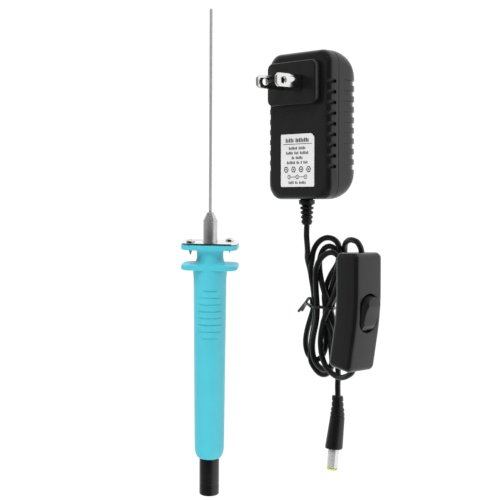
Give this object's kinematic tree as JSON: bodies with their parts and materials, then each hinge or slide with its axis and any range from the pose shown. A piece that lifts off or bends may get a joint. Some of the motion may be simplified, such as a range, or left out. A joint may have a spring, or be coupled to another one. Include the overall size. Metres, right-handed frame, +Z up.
{
  "type": "hot wire cutter",
  "caption": "Hot wire foam cutter: flanged blue pen with a thin heated needle, beside its plug-in supply, tied cord, inline rocker switch and barrel plug.",
  "frame": {"origin": "on the surface, under the middle of the pen and the power supply together", "axes": "+Z up from the surface; +Y along the pen towards the needle's tip; +X from the pen towards the supply"},
  "size_m": [0.1259, 0.2599, 0.0453],
  "materials": {
    "blue_plastic": "satin moulded blue",
    "black_plastic": "matte moulded black",
    "black_rubber": "soft matte black",
    "nickel": "bright nickel plate",
    "steel": "polished",
    "copper": "bare copper alloy",
    "label_film": "printed white film",
    "ceramic": "unglazed white",
    "red_insulation": "satin",
    "yellow_insulator": "satin yellow",
    "circuit_board": "green board",
    "transformer_tape": "yellow tape",
    "component_body": "dark moulded",
    "acetal": "white"
  },
  "bodies": {
    "supply": {"back_cover": "black_plastic", "bridge_rectifier": "component_body", "choke": "component_body", "circuit_board": "circuit_board", "controller_chip": "component_body", "cord_from_supply": "black_rubber", "cord_from_switch": "black_rubber", "cord_hank": "black_rubber", "cord_to_plug": "black_rubber", "cord_to_switch": "black_rubber", "feed_wire": "black_rubber", "fixed_terminal": "copper", "front_cover": "black_plastic", "fuse_resistor": "component_body", "hank_tie": "black_plastic", "input_capacitor": "component_body", "label": "label_film", "output_capacitor": "component_body", "output_diode": "component_body", "output_lead_negative": "black_rubber", "output_lead_positive": "black_rubber", "output_wire": "black_rubber", "pivot_terminal": "copper", "plug_barrel": "nickel", "plug_boot": "black_rubber", "plug_inner_contact": "nickel", "plug_insulator": "yellow_insulator", "prong_lead_left": "black_rubber", "prong_lead_right": "black_rubber", "prong_left": "nickel", "prong_right": "nickel", "rocker_axle": "steel", "strain_relief": "black_rubber", "switch_base": "black_plastic", "switch_cover": "black_plastic", "switch_screw_bottom": "steel", "switch_screw_top": "steel", "through_wire": "black_rubber", "transformer": "transformer_tape"},
    "pen": {"handle": "blue_plastic", "clamp_plate": "nickel", "plate_screw_near": "nickel", "plate_screw_far": "nickel", "ferrule": "nickel", "ceramic_bush": "ceramic", "needle": "steel", "heater_core": "copper", "lead_wire_red": "red_insulation", "lead_wire_black": "black_rubber", "tail_sleeve": "black_plastic", "socket_pin": "nickel", "socket_side_contact": "nickel"},
    "rocker": {"rocker": "black_plastic", "detent_plunger": "acetal", "detent_spring": "steel"},
    "lever": {"contact_lever": "copper"}
  },
  "joints": [
    {"name": "pen_lift", "type": "slide", "parent": "supply", "child": "pen", "axis": [0, 0, 1], "range_m": [0, 0.15]},
    {"name": "rocker_tip", "type": "hinge", "parent": "supply", "child": "rocker", "pos_m": [0.06538, -0.0225, 0.0096], "axis": [0, 0, 1], "range_deg": [0, 26]},
    {"name": "lever_rock", "type": "hinge", "parent": "supply", "child": "lever", "pos_m": [0.05751, -0.02181, 0.0096], "axis": [0, 0, 1], "range_deg": [-16.5, 0]}
  ],
  "couplings": [
    {"joint": "lever_rock", "follows": "rocker_tip", "ratio": -0.6}
  ]
}
